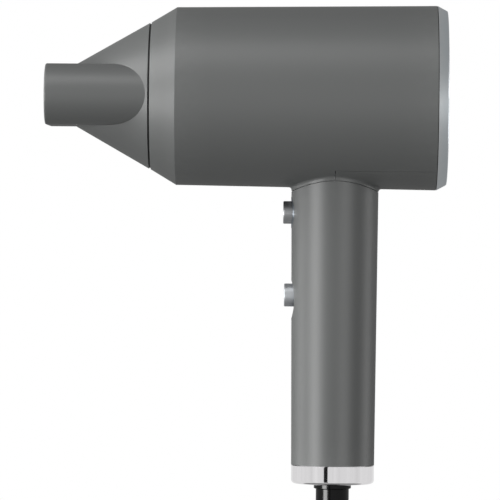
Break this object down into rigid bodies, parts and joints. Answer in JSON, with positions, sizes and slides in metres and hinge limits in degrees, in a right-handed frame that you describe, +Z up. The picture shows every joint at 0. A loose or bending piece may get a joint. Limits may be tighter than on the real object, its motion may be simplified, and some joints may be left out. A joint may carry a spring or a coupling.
{
  "type": "hair dryer",
  "caption": "Pistol-shaped hair dryer with a round barrel, a turning flat nozzle, a lift-off rear filter cover, a push button, a slide switch and a mains cord.",
  "frame": {"origin": "middle of the hand grip, on the handle's axis", "axes": "+Z up along the handle towards the barrel, -X the way the air leaves"},
  "size_m": [0.1716, 0.0861, 0.4756],
  "materials": {
    "grey_shell": "fine satin paint",
    "black_plastic": "fine matte",
    "silver_ring": "satin silver paint",
    "chrome_trim": "mirror",
    "bezel_metal": "satin",
    "heat_plastic": "moulded",
    "mica": "pressed sheet",
    "heater_wire": "drawn wire",
    "steel": "machined",
    "brass": "machined",
    "copper_wire": "enamelled wire",
    "circuit_board": "solder mask",
    "rubber": "matte",
    "cord": "smooth sheath",
    "wire_cover": "smooth"
  },
  "bodies": {
    "dryer": {"front_ring": "grey_shell", "outlet_grille": "black_plastic", "barrel_shell": "grey_shell", "underside_panel": "grey_shell", "air_duct": "heat_plastic", "mica_sleeve": "mica", "mica_frame": "mica", "heater_windings": "heater_wire", "thermostat": "brass", "thermal_fuse": "steel", "ion_module": "black_plastic", "ion_needle": "steel", "fan_housing": "black_plastic", "damper_rings": "rubber", "motor_can": "steel", "motor_end_cap": "black_plastic", "motor_bearings": "brass", "motor_magnets": "steel", "motor_brushes": "brass", "handle_shell": "grey_shell", "button_bezel": "bezel_metal", "slide_plate": "bezel_metal", "control_board": "circuit_board", "handle_frame": "black_plastic", "board_screws": "steel", "cord_clamp": "black_plastic", "clamp_screws": "steel", "push_switch": "black_plastic", "slide_switch": "steel", "foot_collar": "chrome_trim", "strain_relief": "rubber", "cord_sheath": "cord", "wires": "wire_cover", "cord_lead": "cord", "cord_tail": "cord", "cord_hank": "cord", "cord_tie": "rubber", "plug_body": "rubber", "plug_pins": "chrome_trim"},
    "nozzle_ring": {"nozzle_ring": "black_plastic"},
    "nozzle": {"nozzle_shell": "grey_shell"},
    "rear_cover": {"rear_ring": "silver_ring", "rear_grille": "black_plastic", "filter_mesh": "steel"},
    "rotor": {"motor_shaft": "steel", "armature": "steel", "armature_windings": "copper_wire", "commutator": "brass", "fan": "black_plastic"},
    "push_button": {"push_button": "chrome_trim", "push_plunger": "heat_plastic"},
    "slide_knob": {"slide_knob": "chrome_trim", "slide_carrier": "black_plastic"}
  },
  "joints": [
    {"name": "nozzle_pull", "type": "slide", "parent": "dryer", "child": "nozzle_ring", "axis": [-1, 0, 0], "range_m": [0, 0.03]},
    {"name": "nozzle_turn", "type": "hinge", "parent": "nozzle_ring", "child": "nozzle", "pos_m": [-0.082, 0, 0.1], "axis": [1, 0, 0], "continuous": true},
    {"name": "rear_cover_pull", "type": "slide", "parent": "dryer", "child": "rear_cover", "axis": [1, 0, 0], "range_m": [0, 0.03]},
    {"name": "fan_spin", "type": "hinge", "parent": "dryer", "child": "rotor", "pos_m": [0, 0, 0.1], "axis": [1, 0, 0], "continuous": true},
    {"name": "button_push", "type": "slide", "parent": "dryer", "child": "push_button", "axis": [1, 0, 0], "range_m": [0, 0.0012], "stiffness_N_per_m": 1500, "springref_m": -0.001},
    {"name": "knob_slide", "type": "slide", "parent": "dryer", "child": "slide_knob", "axis": [0, 0, -1], "range_m": [0, 0.004]}
  ]
}
